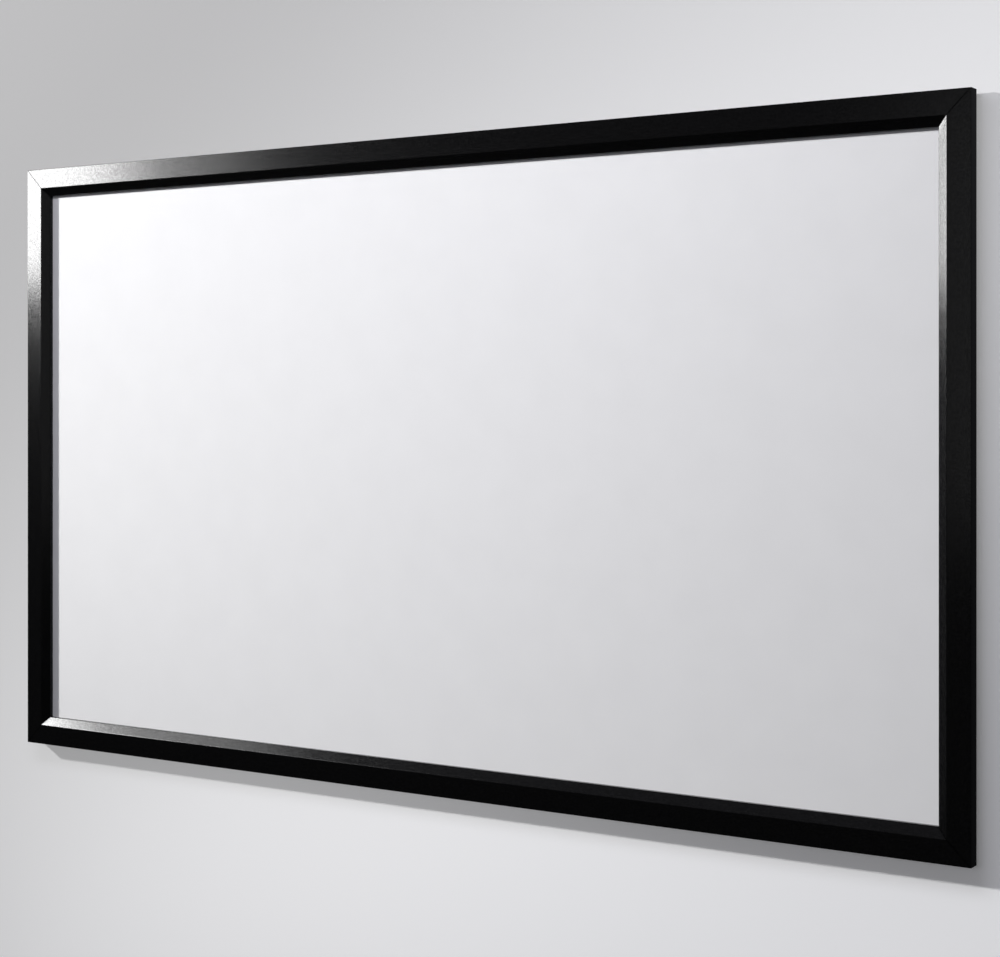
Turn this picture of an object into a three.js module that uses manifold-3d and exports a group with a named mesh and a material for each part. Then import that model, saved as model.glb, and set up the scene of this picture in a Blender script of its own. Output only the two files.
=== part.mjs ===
// A fixed frame projector screen. Four mitred aluminium rails are joined by flat elbow plates in slots
// behind their faces. The white cloth is drawn over a foot behind the lips of the rails, and rods in its
// hems and springs at the back keep it flat. Four folded brackets hold the frame off the wall.
// Millimetres, Z up. X runs along the width, the front faces -Y, and the origin is the middle of the whole.

import * as THREE from "three";
import { mergeVertices } from "three/addons/utils/BufferGeometryUtils.js";
import Module from "manifold-3d";

const wasm = await Module();
wasm.setup();

// Picture area, and what shows of the frame round it
const VIEW_WIDTH = 2000;
const VIEW_HEIGHT = 1125;
const FACE_WIDTH = 41;
const SLOPE_WIDTH = 17;
const SLOPE_DEPTH = 11;
const LIP_HEIGHT = 7;
const RAIL_DEPTH = 25;
const EDGE_ROUND = 0.9;
const EDGE_SIDES = 6;
const MITRE_GAP = 0.3;

// Section of a rail behind the face
const RAIL_WALL = 2;
const FOOT_WIDTH = 8;
const FOOT_THICKNESS = 2;
const SLOT_OUTER_MARGIN = 9;
const SLOT_INNER_MARGIN = 4;
const SLOT_DEPTH = 6;
const SLOT_LIP = 4;
const FLANGE_WIDTH = 10;
const RIDGE_WIDTH = 2;
const RIDGE_HEIGHT = 3;

// Gap between pieces that rest on each other, and how near two points of a mesh count as one
const CLEARANCE = 0.3;
const ONE_POINT = 1e-4;

// Elbow plates and their set screws
const ELBOW_LENGTH = 120;
const ELBOW_THICKNESS = 4;
const SCREW_RADIUS = 2.5;
const SCREW_PROUD = 0.6;
const SCREW_FIRST = 60;
const SCREW_PITCH = 40;
const SOCKET_RADIUS = 1.5;
const SOCKET_DEPTH = 3;
const SOCKET_SIDES = 6;
const SCREW_SIDES = 12;

// Cloth, with a hem folded round a rod along each edge
const CLOTH_THICKNESS = 0.6;
const ROD_RADIUS = 2;
const ROD_SIDES = 10;
const ROD_INSET = 36;
const ROD_PROUD = 5;
const POCKET_CLEARANCE = 0.5;
const POCKET_SIDES = 8;
const HEM_INSET = 66;
const HEM_SLANT = 6.5;
const HEM_LEAVES = Math.PI / 3;
const HEM_LAP = 3;
const NOTCH_WIDTH = 12;
const NOTCH_REACH = 4.5;

// Tension springs
const SPRINGS_ACROSS = 8;
const SPRINGS_UP = 5;
const COIL_RADIUS = 3;
const COIL_SIDES = 8;
const COIL_TO_RIDGE = 3.5;
const COIL_TO_ROD = 6;
const WIRE_RADIUS = 0.5;
const WIRE_SIDES = 6;
const HOOK_STEPS = 5;
const HOOK_DROP = 2;

// Wall brackets
const STAND_OFF = 10;
const BRACKET_THICKNESS = 2;
const BRACKET_WIDTH = 60;
const BRACKET_HEIGHT = 44;
const BRACKET_CORNER = 4;
const BRACKET_FROM_END = 308;
const TONGUE_TIP_GAP = 1.5;
const HOLE_SPACING = 34;
const HOLE_WIDTH = 6;
const HOLE_TRAVEL = 8;
const HOLE_SIDES = 12;

// Places worked out from the sizes above. An inset is measured from the outer side of a rail towards the
// middle of the screen, a depth from the front face towards the wall.
const frameWidth = FACE_WIDTH + SLOPE_WIDTH;
const outerWidth = VIEW_WIDTH + 2 * frameWidth;
const outerHeight = VIEW_HEIGHT + 2 * frameWidth;
const wallDepth = RAIL_DEPTH + STAND_OFF;
const frontPlace = -wallDepth / 2;
const slotStart = SLOT_OUTER_MARGIN + RAIL_WALL;
const slotEnd = FACE_WIDTH - SLOT_INNER_MARGIN - RAIL_WALL;
const slotBack = RAIL_WALL + SLOT_DEPTH;
const elbowBack = slotBack - CLEARANCE;
const elbowFront = elbowBack - ELBOW_THICKNESS;
const footBack = SLOPE_DEPTH + LIP_HEIGHT;
const footFront = footBack - FOOT_THICKNESS;
const clothFront = footBack + CLEARANCE;
const pocketRadius = ROD_RADIUS + POCKET_CLEARANCE;
const hemRadius = pocketRadius + CLOTH_THICKNESS;
const rodDepth = clothFront + hemRadius;
const sheetInset = frameWidth - FOOT_WIDTH;
const ridgeFront = RAIL_DEPTH - RAIL_WALL - RIDGE_HEIGHT;

const coated = { color: 0x161616, roughness: 0.42, metalness: 0.25 };
const zinced = { color: 0xb4b7b6, roughness: 0.38, metalness: 0.9 };
const blackened = { color: 0x2a2a2c, roughness: 0.5, metalness: 0.8 };
const springSteel = { color: 0xc6c9cc, roughness: 0.28, metalness: 1 };
const glassFibre = { color: 0xe6e2d2, roughness: 0.45, metalness: 0 };
const whiteCloth = { color: 0xecedee, roughness: 0.95, metalness: 0 };

function piece(name, geometry, finish) {
  const mesh = new THREE.Mesh(geometry, new THREE.MeshStandardMaterial(finish));
  mesh.name = name;
  return mesh;
}

// A closed geometry as a solid that can be joined and cut
function solid(geometry) {
  const bare = geometry.clone();
  bare.deleteAttribute("normal");
  bare.deleteAttribute("uv");
  const merged = mergeVertices(bare, ONE_POINT);
  return new wasm.Manifold(
    new wasm.Mesh({
      numProp: 3,
      vertProperties: merged.attributes.position.array,
      triVerts: new Uint32Array(merged.index.array),
    }),
  );
}

function geometryOf(body) {
  const mesh = body.getMesh();
  const geometry = new THREE.BufferGeometry();
  geometry.setAttribute("position", new THREE.BufferAttribute(mesh.vertProperties, 3));
  geometry.setIndex(new THREE.BufferAttribute(mesh.triVerts, 1));
  const flat = geometry.toNonIndexed();
  flat.computeVertexNormals();
  return flat;
}

// A shape made solid. A whole circle in it gets the given number of sides.
function thicken(shape, depth, sides) {
  return new THREE.ExtrudeGeometry(shape, { depth, bevelEnabled: false, curveSegments: sides / 2 });
}

// A section drawn as inset and depth, run along X from 0 to its length, with Z towards the outer side
function runAlong(section, length, sides) {
  return thicken(section, length, sides).rotateY(Math.PI / 2);
}

// A shape drawn as place along X and inset, thickened from one depth to another
function plateBetween(shape, from, to, sides) {
  return thicken(shape, to - from, sides).rotateX(-Math.PI / 2).translate(0, from, 0);
}

// How far the back of the slope lies behind its front, along the depth
function slopeThickness() {
  return (RAIL_WALL * Math.hypot(SLOPE_WIDTH, SLOPE_DEPTH)) / SLOPE_WIDTH;
}

// Inset of the back of the slope at a depth, and its depth at an inset
function slopeBackInset(depth) {
  return FACE_WIDTH + ((depth - slopeThickness()) * SLOPE_WIDTH) / SLOPE_DEPTH;
}

function slopeBackDepth(inset) {
  return ((inset - FACE_WIDTH) * SLOPE_DEPTH) / SLOPE_WIDTH + slopeThickness();
}

// Section of a rail: a flat face, a slope, and a lip that goes straight back to the foot over the cloth
function railSection() {
  const lipBack = frameWidth - RAIL_WALL;
  const slant = Math.hypot(SLOPE_WIDTH, SLOPE_DEPTH);
  const roundAlong = (EDGE_ROUND * SLOPE_WIDTH) / slant;
  const roundDown = (EDGE_ROUND * SLOPE_DEPTH) / slant;
  const section = new THREE.Shape();
  section.moveTo(0, RAIL_DEPTH);
  section.lineTo(0, EDGE_ROUND);
  section.quadraticCurveTo(0, 0, EDGE_ROUND, 0);
  section.lineTo(FACE_WIDTH - EDGE_ROUND, 0);
  section.quadraticCurveTo(FACE_WIDTH, 0, FACE_WIDTH + roundAlong, roundDown);
  section.lineTo(frameWidth - roundAlong, SLOPE_DEPTH - roundDown);
  section.quadraticCurveTo(frameWidth, SLOPE_DEPTH, frameWidth, SLOPE_DEPTH + EDGE_ROUND);
  section.lineTo(frameWidth, footBack);
  section.lineTo(sheetInset, footBack);
  section.lineTo(sheetInset, footFront);
  section.lineTo(lipBack, footFront);
  section.lineTo(lipBack, slopeBackDepth(lipBack));
  section.lineTo(slopeBackInset(RAIL_WALL), RAIL_WALL);
  section.lineTo(slotEnd + RAIL_WALL, RAIL_WALL);
  section.lineTo(slotEnd + RAIL_WALL, slotBack + RAIL_WALL);
  section.lineTo(slotEnd - SLOT_LIP, slotBack + RAIL_WALL);
  section.lineTo(slotEnd - SLOT_LIP, slotBack);
  section.lineTo(slotEnd, slotBack);
  section.lineTo(slotEnd, RAIL_WALL);
  section.lineTo(slotStart, RAIL_WALL);
  section.lineTo(slotStart, slotBack);
  section.lineTo(slotStart + SLOT_LIP, slotBack);
  section.lineTo(slotStart + SLOT_LIP, slotBack + RAIL_WALL);
  section.lineTo(SLOT_OUTER_MARGIN, slotBack + RAIL_WALL);
  section.lineTo(SLOT_OUTER_MARGIN, RAIL_WALL);
  section.lineTo(RAIL_WALL, RAIL_WALL);
  section.lineTo(RAIL_WALL, RAIL_DEPTH - RAIL_WALL);
  section.lineTo(FLANGE_WIDTH - RIDGE_WIDTH, RAIL_DEPTH - RAIL_WALL);
  section.lineTo(FLANGE_WIDTH - RIDGE_WIDTH, ridgeFront);
  section.lineTo(FLANGE_WIDTH, ridgeFront);
  section.lineTo(FLANGE_WIDTH, RAIL_DEPTH);
  section.closePath();
  return section;
}

// A rail with both ends cut at 45 degrees
function railGeometry(length) {
  const geometry = runAlong(railSection(), length, EDGE_SIDES);
  const place = geometry.attributes.position;
  for (let i = 0; i < place.count; i += 1) {
    const cut = MITRE_GAP / Math.SQRT2 - place.getZ(i);
    place.setX(i, place.getX(i) < length / 2 ? cut : length - cut);
  }
  return geometry;
}

// Holes of the set screws along both arms of an elbow, as distances from the outer corner
function screwPlaces() {
  const middle = (slotStart + slotEnd) / 2;
  const along = [SCREW_FIRST, SCREW_FIRST + SCREW_PITCH];
  return [...along.map((at) => [at, middle]), ...along.map((at) => [middle, at])];
}

// The elbow fills the slots of two rails, so both its arms are as wide as a slot
function elbowGeometry() {
  const near = slotStart + CLEARANCE;
  const far = slotEnd - CLEARANCE;
  const outline = new THREE.Shape();
  outline.moveTo(-near, near);
  outline.lineTo(-ELBOW_LENGTH, near);
  outline.lineTo(-ELBOW_LENGTH, far);
  outline.lineTo(-far, far);
  outline.lineTo(-far, ELBOW_LENGTH);
  outline.lineTo(-near, ELBOW_LENGTH);
  outline.closePath();
  for (const [along, down] of screwPlaces()) {
    const hole = new THREE.Path();
    hole.absarc(-along, down, SCREW_RADIUS + CLEARANCE, 0, 2 * Math.PI);
    outline.holes.push(hole);
  }
  return plateBetween(outline, elbowFront, elbowBack, SCREW_SIDES);
}

// A set screw pointing at the front, with its hexagon socket at the back
function screwGeometry() {
  const front = RAIL_WALL + CLEARANCE;
  const back = elbowBack + SCREW_PROUD;
  const shank = new THREE.CylinderGeometry(SCREW_RADIUS, SCREW_RADIUS, back - front, SCREW_SIDES);
  const socket = new THREE.CylinderGeometry(SOCKET_RADIUS, SOCKET_RADIUS, 2 * SOCKET_DEPTH, SOCKET_SIDES);
  shank.translate(0, (front + back) / 2, 0);
  socket.translate(0, back, 0);
  return geometryOf(solid(shank).subtract(solid(socket)));
}

// The hem: the cloth runs out to the rod, goes round it and lies double on its own back
function hemSection() {
  const lapEnd = sheetInset + HEM_LAP;
  const section = new THREE.Shape();
  section.moveTo(lapEnd, clothFront);
  section.lineTo(ROD_INSET, clothFront);
  section.absarc(ROD_INSET, rodDepth, hemRadius, -Math.PI / 2, HEM_LEAVES, true);
  section.lineTo(ROD_INSET + HEM_SLANT, clothFront + 2 * CLOTH_THICKNESS);
  section.lineTo(lapEnd, clothFront + 2 * CLOTH_THICKNESS);
  section.closePath();
  const pocket = new THREE.Path();
  pocket.absarc(ROD_INSET, rodDepth, pocketRadius, 0, 2 * Math.PI);
  section.holes.push(pocket);
  return section;
}

// Places of the springs along one side, even about its middle
function springPlaces(viewLength, count) {
  const pitch = viewLength / count;
  return Array.from({ length: count }, (_, i) => (i - (count - 1) / 2) * pitch);
}

// One hem, with a notch at each spring that lets its hook reach the rod
function hemSolid(length, springs) {
  const run = length - 2 * HEM_INSET;
  let hem = solid(runAlong(hemSection(), run, POCKET_SIDES).translate(-run / 2, 0, 0));
  const notchStart = ROD_INSET - 2 * hemRadius;
  const notchEnd = ROD_INSET + NOTCH_REACH;
  for (const at of springs) {
    const notch = new THREE.BoxGeometry(NOTCH_WIDTH, 4 * hemRadius, notchEnd - notchStart);
    notch.translate(at, rodDepth, -(notchStart + notchEnd) / 2);
    hem = hem.subtract(solid(notch));
  }
  return hem;
}

function rodGeometry(length) {
  const run = length - 2 * HEM_INSET + 2 * ROD_PROUD;
  return new THREE.CylinderGeometry(ROD_RADIUS, ROD_RADIUS, run, ROD_SIDES).rotateZ(Math.PI / 2);
}

// Round wire along points given as inset and depth
function wireSolid(points) {
  const places = points.map(([inset, depth]) => new THREE.Vector3(0, depth, -inset));
  const path = new THREE.CatmullRomCurve3(places);
  const round = new THREE.Shape();
  round.absarc(0, 0, WIRE_RADIUS, 0, 2 * Math.PI);
  const options = { steps: HOOK_STEPS, extrudePath: path, curveSegments: WIRE_SIDES / 2 };
  return solid(new THREE.ExtrudeGeometry(round, options));
}

// A closed coil with a hook over the ridge at one end and a hook round the rod at the other
function springGeometry() {
  const coilStart = FLANGE_WIDTH + COIL_TO_RIDGE;
  const coilEnd = ROD_INSET - COIL_TO_ROD;
  const length = coilEnd - coilStart;
  const coil = new THREE.CylinderGeometry(COIL_RADIUS, COIL_RADIUS, length, COIL_SIDES);
  coil.rotateX(Math.PI / 2).translate(0, rodDepth, -(coilStart + coilEnd) / 2);
  const overRidge = ridgeFront - CLEARANCE - WIRE_RADIUS;
  const behindRidge = FLANGE_WIDTH - RIDGE_WIDTH - CLEARANCE - WIRE_RADIUS;
  const ridgeHook = wireSolid([
    [coilStart + WIRE_RADIUS, rodDepth],
    [coilStart - 2 * WIRE_RADIUS, (rodDepth + overRidge) / 2 - WIRE_RADIUS],
    [FLANGE_WIDTH + CLEARANCE, overRidge - WIRE_RADIUS / 2],
    [FLANGE_WIDTH - RIDGE_WIDTH, overRidge - WIRE_RADIUS / 2],
    [behindRidge - WIRE_RADIUS / 2, overRidge + WIRE_RADIUS],
    [behindRidge - WIRE_RADIUS / 2, overRidge + HOOK_DROP],
  ]);
  const bend = ROD_RADIUS + WIRE_RADIUS + 2 * CLEARANCE;
  const rodHook = wireSolid([
    [coilEnd - WIRE_RADIUS, rodDepth],
    [ROD_INSET - bend, rodDepth + bend / 2],
    [ROD_INSET, rodDepth + bend],
    [ROD_INSET + bend, rodDepth],
    [ROD_INSET + bend / 2, rodDepth - bend],
  ]);
  return geometryOf(solid(coil).add(ridgeHook).add(rodHook));
}

function slotHole(middle, height) {
  const radius = HOLE_WIDTH / 2;
  const hole = new THREE.Path();
  hole.moveTo(middle + HOLE_TRAVEL / 2, height - radius);
  hole.absarc(middle + HOLE_TRAVEL / 2, height, radius, -Math.PI / 2, Math.PI / 2);
  hole.absarc(middle - HOLE_TRAVEL / 2, height, radius, Math.PI / 2, -Math.PI / 2);
  hole.closePath();
  return hole;
}

// A bracket: a plate on the wall with two screw slots, and a shelf whose tongue stands in front of the
// ridge, so that the flange of the rail rests on the shelf between tongue and plate
function bracketGeometry() {
  const shelfStart = FLANGE_WIDTH + CLEARANCE;
  const shelfEnd = shelfStart + BRACKET_THICKNESS;
  const plateFront = wallDepth - BRACKET_THICKNESS;
  const tongueBack = ridgeFront - CLEARANCE;
  const tongueFront = tongueBack - BRACKET_THICKNESS;
  const hook = new THREE.Shape();
  hook.moveTo(RAIL_WALL + TONGUE_TIP_GAP, tongueFront);
  hook.lineTo(RAIL_WALL + TONGUE_TIP_GAP, tongueBack);
  hook.lineTo(shelfStart, tongueBack);
  hook.lineTo(shelfStart, wallDepth);
  hook.lineTo(shelfEnd, wallDepth);
  hook.lineTo(shelfEnd, tongueFront);
  hook.closePath();
  const half = BRACKET_WIDTH / 2;
  const plateEnd = shelfStart + BRACKET_HEIGHT;
  const plate = new THREE.Shape();
  plate.moveTo(-half, shelfStart);
  plate.lineTo(half, shelfStart);
  plate.lineTo(half, plateEnd - BRACKET_CORNER);
  plate.quadraticCurveTo(half, plateEnd, half - BRACKET_CORNER, plateEnd);
  plate.lineTo(BRACKET_CORNER - half, plateEnd);
  plate.quadraticCurveTo(-half, plateEnd, -half, plateEnd - BRACKET_CORNER);
  plate.closePath();
  const holeHeight = (shelfEnd + plateEnd) / 2;
  plate.holes.push(slotHole(-HOLE_SPACING / 2, holeHeight), slotHole(HOLE_SPACING / 2, holeHeight));
  const shelf = solid(runAlong(hook, BRACKET_WIDTH, HOLE_SIDES).translate(-half, 0, 0));
  return geometryOf(shelf.add(solid(plateBetween(plate, plateFront, wallDepth, HOLE_SIDES))));
}

// The four sides. Each turns about the middle of the screen until its outer side points up.
const across = { length: outerWidth, reach: outerHeight / 2, view: VIEW_WIDTH, springs: SPRINGS_ACROSS };
const upright = { length: outerHeight, reach: outerWidth / 2, view: VIEW_HEIGHT, springs: SPRINGS_UP };
const sides = [
  { name: "top", turn: 0, ...across },
  { name: "right", turn: 1, ...upright },
  { name: "bottom", turn: 2, ...across },
  { name: "left", turn: 3, ...upright },
];

// The four corners. Each turns about the middle until its elbow's arms point left and down.
const corners = [
  { name: "top_right", turn: 0, x: 1, z: 1 },
  { name: "bottom_right", turn: 1, x: 1, z: -1 },
  { name: "bottom_left", turn: 2, x: -1, z: -1 },
  { name: "top_left", turn: 3, x: -1, z: 1 },
];

// A group whose Z points at the outer side, with Z = 0 on it and Y = 0 on the front face
function turned(turn, x, z) {
  const group = new THREE.Group();
  group.rotation.y = (turn * Math.PI) / 2;
  group.position.set(x, frontPlace, z);
  return group;
}

function sideFrame({ turn, reach }) {
  const angle = (turn * Math.PI) / 2;
  return turned(turn, reach * Math.sin(angle), reach * Math.cos(angle));
}

function makeSide(side) {
  const group = sideFrame(side);
  const rail = piece("rail_" + side.name, railGeometry(side.length), coated);
  rail.position.x = -side.length / 2;
  const rod = piece("tension_rod_" + side.name, rodGeometry(side.length), glassFibre);
  rod.position.set(0, rodDepth, -ROD_INSET);
  group.add(rail, rod);
  springPlaces(side.view, side.springs).forEach((at, i) => {
    const spring = piece("spring_" + side.name + "_" + (i + 1), springGeometry(), springSteel);
    spring.position.x = at;
    group.add(spring);
  });
  return group;
}

// Two brackets on the top or bottom side
function makeBrackets(side) {
  const group = sideFrame(side);
  for (const way of [-1, 1]) {
    const end = way * Math.cos((side.turn * Math.PI) / 2) < 0 ? "left" : "right";
    const bracket = piece("wall_bracket_" + side.name + "_" + end, bracketGeometry(), zinced);
    bracket.position.x = way * (side.length / 2 - BRACKET_FROM_END);
    group.add(bracket);
  }
  return group;
}

function makeCorner({ name, turn, x, z }) {
  const group = turned(turn, (x * outerWidth) / 2, (z * outerHeight) / 2);
  group.add(piece("elbow_" + name, elbowGeometry(), zinced));
  screwPlaces().forEach(([along, down], i) => {
    const screw = piece("set_screw_" + name + "_" + (i + 1), screwGeometry(), blackened);
    screw.position.set(-along, 0, -down);
    group.add(screw);
  });
  return group;
}

// The cloth: one sheet that reaches over the foot of every rail, with a hem along each edge
function makeCloth() {
  const width = outerWidth - 2 * sheetInset;
  const height = outerHeight - 2 * sheetInset;
  const sheet = new THREE.BoxGeometry(width, CLOTH_THICKNESS, height);
  sheet.translate(0, frontPlace + clothFront + CLOTH_THICKNESS / 2, 0);
  let cloth = solid(sheet);
  for (const side of sides) {
    const frame = sideFrame(side);
    frame.updateMatrix();
    const hem = geometryOf(hemSolid(side.length, springPlaces(side.view, side.springs)));
    cloth = cloth.add(solid(hem.applyMatrix4(frame.matrix)));
  }
  return piece("projection_cloth", geometryOf(cloth), whiteCloth);
}

const screen = new THREE.Group();
screen.add(...sides.map(makeSide));
screen.add(...corners.map(makeCorner));
screen.add(...sides.filter(({ name }) => name === "top" || name === "bottom").map(makeBrackets));
screen.add(makeCloth());

export default screen;
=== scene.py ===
"""A fixed frame projector screen, finished and lit.

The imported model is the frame. The four rails keep their own shape and get their coating. The cloth with its
hems, the rods and springs that hold it flat, the elbow plates with their set screws and the wall brackets
are made here, each in the place of its solid. Metres, Z up. X runs along the width and the front faces -Y.
"""

import math

import bmesh
import bpy
from bpy.props import FloatProperty, FloatVectorProperty, IntProperty, PointerProperty
from mathutils import Matrix, Vector


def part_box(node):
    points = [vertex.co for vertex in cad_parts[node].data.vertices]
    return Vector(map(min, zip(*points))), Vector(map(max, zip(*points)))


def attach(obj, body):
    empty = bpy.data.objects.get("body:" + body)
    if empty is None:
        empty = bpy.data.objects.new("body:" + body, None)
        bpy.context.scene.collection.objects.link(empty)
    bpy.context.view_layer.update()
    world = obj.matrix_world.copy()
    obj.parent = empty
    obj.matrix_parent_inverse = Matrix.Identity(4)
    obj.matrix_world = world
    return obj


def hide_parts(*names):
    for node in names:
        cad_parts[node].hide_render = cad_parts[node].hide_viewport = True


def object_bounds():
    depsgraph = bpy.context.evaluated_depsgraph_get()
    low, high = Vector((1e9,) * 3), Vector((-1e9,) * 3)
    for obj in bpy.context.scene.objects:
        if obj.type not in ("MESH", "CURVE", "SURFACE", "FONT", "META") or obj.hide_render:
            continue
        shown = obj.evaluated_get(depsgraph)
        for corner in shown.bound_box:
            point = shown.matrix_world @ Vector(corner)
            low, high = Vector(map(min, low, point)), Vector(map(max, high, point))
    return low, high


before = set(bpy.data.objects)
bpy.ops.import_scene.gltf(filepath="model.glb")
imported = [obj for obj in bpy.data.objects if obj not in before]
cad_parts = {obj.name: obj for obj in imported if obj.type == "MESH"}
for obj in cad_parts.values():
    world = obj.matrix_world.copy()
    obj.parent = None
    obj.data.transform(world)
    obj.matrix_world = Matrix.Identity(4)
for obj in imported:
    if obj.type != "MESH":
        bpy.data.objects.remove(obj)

bl_info = {
    "name": "Fixed Frame Projector Screen",
    "version": (1, 0, 0),
    "blender": (4, 5, 0),
    "location": "View3D > Sidebar > Projector Screen",
    "description": "Finishes and lights the packed frame of a wall-mounted projector screen",
    "category": "Object",
}

MM = 0.001
QUARTER_TURN = math.pi / 2
FULL_TURN = 2 * math.pi
SAME_POINT = 1e-6
BODY = "root"
CAD_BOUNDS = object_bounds()

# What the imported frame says: half its width and height, its front plane and its wall plane
HALF_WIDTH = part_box("rail_top")[1].x
HALF_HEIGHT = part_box("rail_top")[1].z
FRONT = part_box("rail_top")[0].y
WALL = CAD_BOUNDS[1].y

# Places on a side. An inset is measured from the outer side of a rail towards the middle of the screen,
# a depth from the front plane towards the wall.
ROD_LOW, ROD_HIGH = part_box("tension_rod_top")
ROD_INSET = HALF_HEIGHT - (ROD_LOW.z + ROD_HIGH.z) / 2
ROD_DEPTH = (ROD_LOW.y + ROD_HIGH.y) / 2 - FRONT
ROD_HALF_ACROSS = ROD_HIGH.x
ROD_HALF_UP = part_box("tension_rod_left")[1].z
CLOTH_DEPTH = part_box("projection_cloth")[0].y - FRONT
ELBOW_DEPTHS = [corner.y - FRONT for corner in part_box("elbow_top_left")]
SCREW_DEPTHS = [corner.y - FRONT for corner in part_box("set_screw_top_left_1")]
BRACKET_DEPTHS = [corner.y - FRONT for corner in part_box("wall_bracket_top_left")]

# Quarter turns from the top side to each side, or from the top right corner to each corner. A corner also has
# the signs of its X and Z.
SIDES = {"top": 0, "right": 1, "bottom": 2, "left": 3}
CORNERS = {
    "top_right": (0, 1, 1),
    "bottom_right": (1, 1, -1),
    "bottom_left": (2, -1, -1),
    "top_left": (3, -1, 1),
}
LEVEL = ("top", "bottom")
SPRINGS = {"top": 8, "right": 5, "bottom": 8, "left": 5}


def spring_pitch(side, way):
    first, second = (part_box(f"spring_{side}_{number}")[0][way] for number in (1, 2))
    return abs(second - first)


PITCH_ACROSS = spring_pitch("top", 0)
PITCH_UP = spring_pitch("left", 2)

# Section of the cloth's edge, and how near two of its points count as one
SHEET_INSET = 50 * MM
HEM_ROW = 45 * MM
LAP_ROW = 46 * MM
HEM_END = 66 * MM
HEM_LEAVES = math.radians(60)
HEM_MEETS = 6.3 * MM
LAP_GAP = 0.1 * MM
NOTCH_FROM_ROD = 4.5 * MM
ARC_STEPS = 14
SHEET_STEP = 28 * MM
WELD = 0.02 * MM

# A stitch: parts of the stitch pitch along the hem, and radii of the thread out of the cloth
STITCH_INSET = 49.5 * MM
STITCH_LINE = ((-0.34, -1.0), (-0.204, 0.5), (0.204, 0.5), (0.34, -1.0))
STITCH_SIDES = 5

# Coil and hooks of a spring. The hook over the ridge is drawn by depths and insets from its bend, the hook
# round the rod by its first and last angle.
COIL_START = 14.0 * MM
COIL_END = 29.5 * MM
COIL_GAP = 0.03 * MM
POINTS_A_TURN = 13
TURN_IN = 0.5
RIDGE_FRONT = 20 * MM
RIDGE_INSETS = (8 * MM, 10 * MM)
RIDGE_HOOK = ((2.4 * MM, 0), (1.4 * MM, 0), (0.5 * MM, 0.1 * MM), (0.08 * MM, 0.5 * MM), (0, 1.1 * MM))
ROD_HOOK = (math.radians(112), math.radians(-62))
ROD_HOOK_STEPS = 12
TOUCH = 0.05 * MM

# Hem rod, with its chamfer as a part of its radius
ROD_SIDES = 18
ROD_CHAMFER = 0.2

# Elbow plate, along each arm from the outer corner
ELBOW_LENGTH = 120 * MM
ELBOW_INSETS = (11.3 * MM, 34.7 * MM)
ELBOW_CORNER = 1.2 * MM
HOLE_ROOM = 0.15 * MM
HOLE_SIDES = 28

# Set screw: its places on an arm, the depths and radii of its cup point, its thread, its chamfer, and the
# depths of its hexagon socket with its size there
SCREW_PLACES = (60 * MM, 100 * MM)
SCREW_INSET = 23 * MM
SCREW_SIDES = 12
CUP = ((0.4 * MM, 0.7 * MM), (0, 1.1 * MM), (0, 1.5 * MM))
POINT_LENGTH = 0.6 * MM
THREAD_START = 0.7 * MM
THREAD_END = 0.35 * MM
THREAD_PITCH = 0.8 * MM
THREAD_HEIGHT = 0.35 * MM
SCREW_CHAMFER = 0.3 * MM
SOCKET = ((0, 1.12), (0.15 * MM, 1.0), (3 * MM, 1.0))

# Fold line of a wall bracket as insets and depths of the middle of its sheet, and its plate
BRACKET_THICKNESS = 2 * MM
TONGUE_DEPTH = BRACKET_DEPTHS[0] + BRACKET_THICKNESS / 2
PLATE_DEPTH = BRACKET_DEPTHS[1] - BRACKET_THICKNESS / 2
TONGUE_INSET = 3.5 * MM
SHELF_INSET = 11.3 * MM
PLATE_INSET = 54.3 * MM
BRACKET_WIDTH = 60 * MM
BRACKET_CORNERS = (1.5 * MM, 1.5 * MM, 4 * MM, 4 * MM)
CORNER_POINTS = 6
SLOT_SPACING = 34 * MM
SLOT_WIDTH = 6 * MM
SLOT_TRAVEL = 8 * MM
SLOT_INSET = 33.3 * MM
SLOT_POINTS = 12
BEND_CUTS = 5
CUT_REACH = 1e-7

# Where the middle of a noise starts and ends
NOISE_MIDDLE = (0.3, 0.7)

# How the wall's painted shade turns from dim to bright, with its painted glow: the slant that they turn
# along, by X and by Z, and where on it the tone and the glow start and end. The room's light rises between
# two heights of the direction.
WALL_SLANT = (0.26, -0.336)
WALL_PAINTED_SHADE_TURN = (-0.5, 0.6)
WALL_PAINTED_GLOW = (0.05, 0.5)
ROOM_RISE = (-0.2, 0.6)

# The room: half its width, its height, the level of its floor and how far the floor comes to the front
ROOM_SIDE = 7.0
ROOM_TOP = 4.0
ROOM_FLOOR = -1.5
ROOM_NEAR = -8.0
CAMERA_REACH = 100.0

# The far light: its place, its target and its size. Then the panels: the setting with the power, what a panel
# is there for, its place, its target, and its width and height. A panel lights, is reflected, or does both.
KEY_PLACE = (-6.8, -3.0, 2.5)
KEY_TARGET = (1.0, 0.0, 0.6)
KEY_SIZE = 0.15
PANELS = (
    ("top", "light", (-0.1, -1.6, 1.7), (-0.1, 0, -0.2), (2.4, 0.6)),
    ("fill", "light", (0.3, -6, 0.6), (0, 0, 0), (3, 2)),
    ("gloss", "reflection", (-3.2, -1.415, 0.895), (0, -1.415, 0.895), (2.17, 0.71)),
    ("halo", "reflection", (-3.21, -2.05, 1.4), (0, -2.05, 1.4), (2.3, 1.6)),
    ("front", "reflection", (0, -6.1, 0.6), (0, 0, 0.6), (2.8, 2.2)),
    ("rear", "both", (-0.9, 2.6, 2.4), (0, 0, 0), (1.4, 1.4)),
    ("rear", "both", (0.9, 2.6, 2.4), (0, 0, 0), (1.4, 1.4)),
    ("behind", "reflection", (-1.7, 5, 0.5), (-1.7, 0, 0.5), (4.4, 5)),
)


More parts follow.
